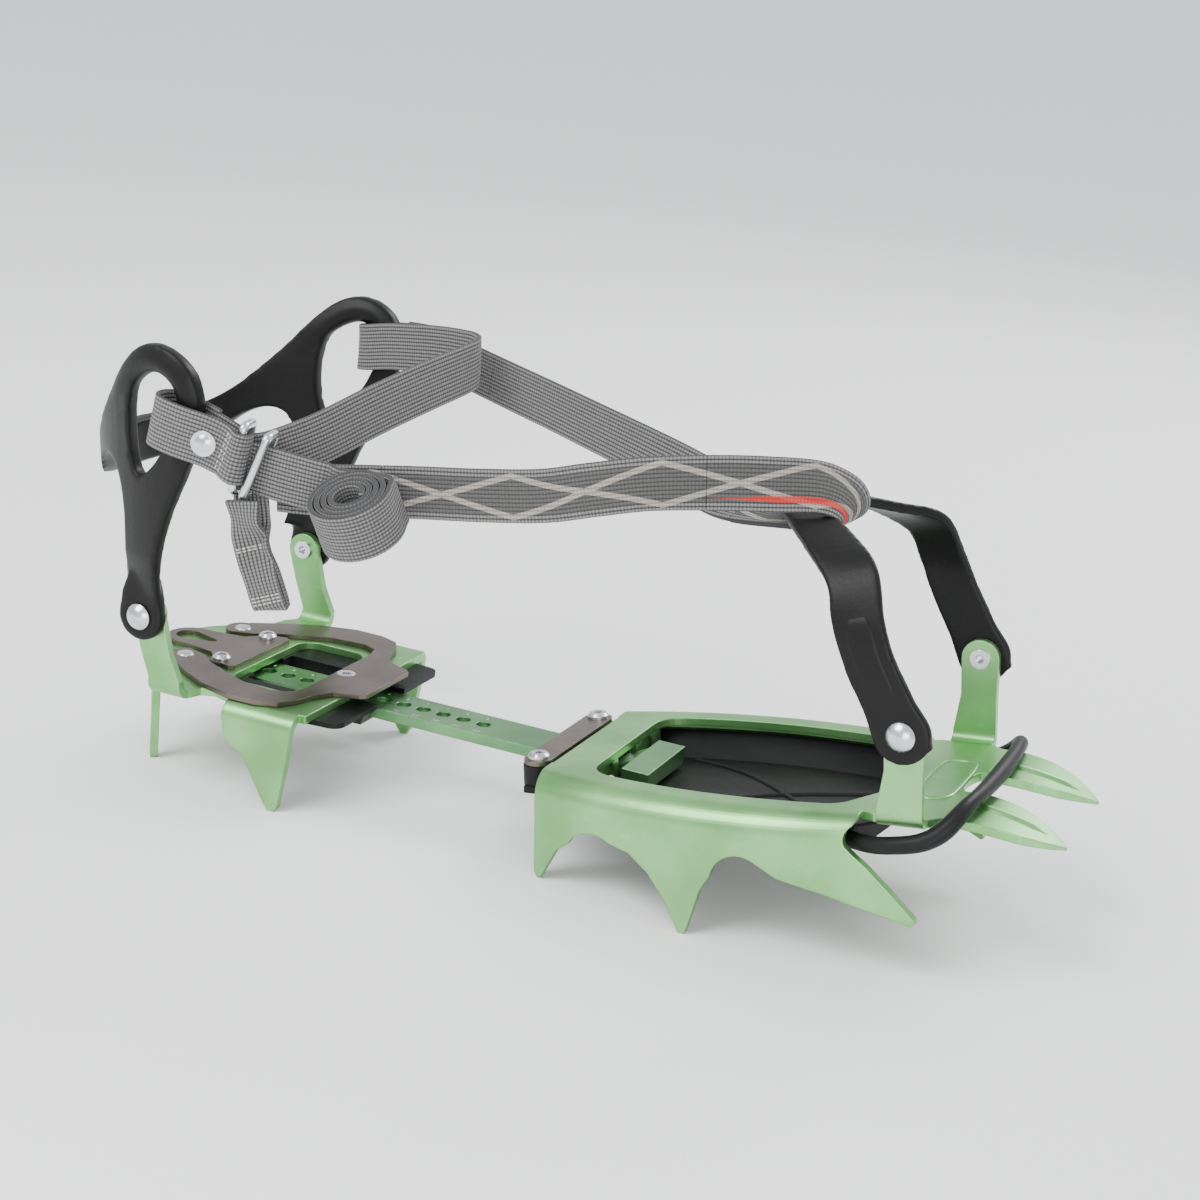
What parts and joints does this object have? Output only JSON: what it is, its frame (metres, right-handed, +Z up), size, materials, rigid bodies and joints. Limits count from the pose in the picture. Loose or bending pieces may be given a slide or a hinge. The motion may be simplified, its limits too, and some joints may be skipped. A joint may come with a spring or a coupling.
{
  "type": "crampon",
  "caption": "Strap-on crampon for a right boot: hinged front and heel sections with points, an adjustable bar, a toe basket, a heel cage and webbing straps with a ring buckle.",
  "frame": {"origin": "on top of the steel heel plate, in the plane that the boot sole rests on, 8 mm in front of the locating pin's axis and on the crampon's middle line", "axes": "+X towards the toe, +Y to the inner side of the right foot, +Z up away from the ground"},
  "size_m": [0.3148, 0.1377, 0.1396],
  "materials": {
    "green_alloy": "green anodised aluminium sheet, satin",
    "bar_alloy": "darker green anodised aluminium bar",
    "spring_steel": "bronze-brown hardened steel",
    "zinc_steel": "zinc plated",
    "flexible_black": "flexible moulded plastic",
    "black_plastic": "moulded nylon, fine grain",
    "grey_webbing": "two-tone woven polyamide"
  },
  "bodies": {
    "heel_section": {"heel_frame": "green_alloy", "heel_anti_balling_plate": "flexible_black", "bar_guide": "spring_steel", "guide_screws": "zinc_steel", "cage_rivets": "zinc_steel"},
    "spring_plate": {"spring_plate": "spring_steel", "locating_pin": "zinc_steel", "spring_plate_rivets": "zinc_steel"},
    "linking_bar": {"linking_bar": "bar_alloy", "outer_strap_middle": "grey_webbing", "inner_strap_middle": "grey_webbing"},
    "front_section": {"front_frame": "green_alloy", "front_anti_balling_plate": "flexible_black", "plate_stretch_band": "flexible_black", "keeper_strip": "spring_steel", "keeper_screws": "zinc_steel", "toe_rivets": "zinc_steel"},
    "toe_basket": {"toe_basket": "black_plastic", "basket_loop": "grey_webbing", "outer_strap_front": "grey_webbing", "inner_strap_front": "grey_webbing"},
    "heel_cage": {"heel_cage": "black_plastic", "buckle_loop": "grey_webbing", "buckle_loop_rivet": "zinc_steel", "ankle_strap": "grey_webbing", "strap_roll": "grey_webbing", "outer_strap_rear": "grey_webbing", "inner_strap_rear": "grey_webbing"},
    "fixed_ring": {"fixed_ring": "zinc_steel"},
    "clamping_ring": {"clamping_ring": "zinc_steel", "release_tab": "grey_webbing"}
  },
  "joints": [
    {"name": "length_slide", "type": "slide", "parent": "heel_section", "child": "linking_bar", "axis": [1, 0, 0], "range_m": [-0.035, 0.028], "deforming": ["outer_strap_middle", "inner_strap_middle"]},
    {"name": "bar_rock", "type": "hinge", "parent": "linking_bar", "child": "front_section", "pos_m": [0.0865, 0, -0.0073], "axis": [0, 1, 0], "range_deg": [-1.8, 1.8]},
    {"name": "basket_swing", "type": "hinge", "parent": "front_section", "child": "toe_basket", "pos_m": [0.1818, 0, 0.03734], "axis": [0, 1, 0], "range_deg": [-20, 25], "deforming": ["outer_strap_front", "inner_strap_front"]},
    {"name": "cage_swing", "type": "hinge", "parent": "heel_section", "child": "heel_cage", "pos_m": [-0.0515, 0, 0.022], "axis": [0, 1, 0], "range_deg": [-18, 12], "deforming": ["outer_strap_rear", "inner_strap_rear"]},
    {"name": "plate_lift", "type": "hinge", "parent": "heel_section", "child": "spring_plate", "pos_m": [-0.0626, 0, -0.0015], "axis": [0, -1, 0], "range_deg": [0, 5], "stiffness_Nm_per_rad": 5, "springref_deg": -1.15},
    {"name": "fixed_ring_turn", "type": "hinge", "parent": "heel_cage", "child": "fixed_ring", "pos_m": [-0.0136, -0.0564, 0.0794], "axis": [0.139, 0, 0.9903], "range_deg": [-8, 8]},
    {"name": "clamping_ring_turn", "type": "hinge", "parent": "heel_cage", "child": "clamping_ring", "pos_m": [-0.0086, -0.0554, 0.0776], "axis": [0.342, 0, 0.9397], "range_deg": [-8, 8]}
  ]
}
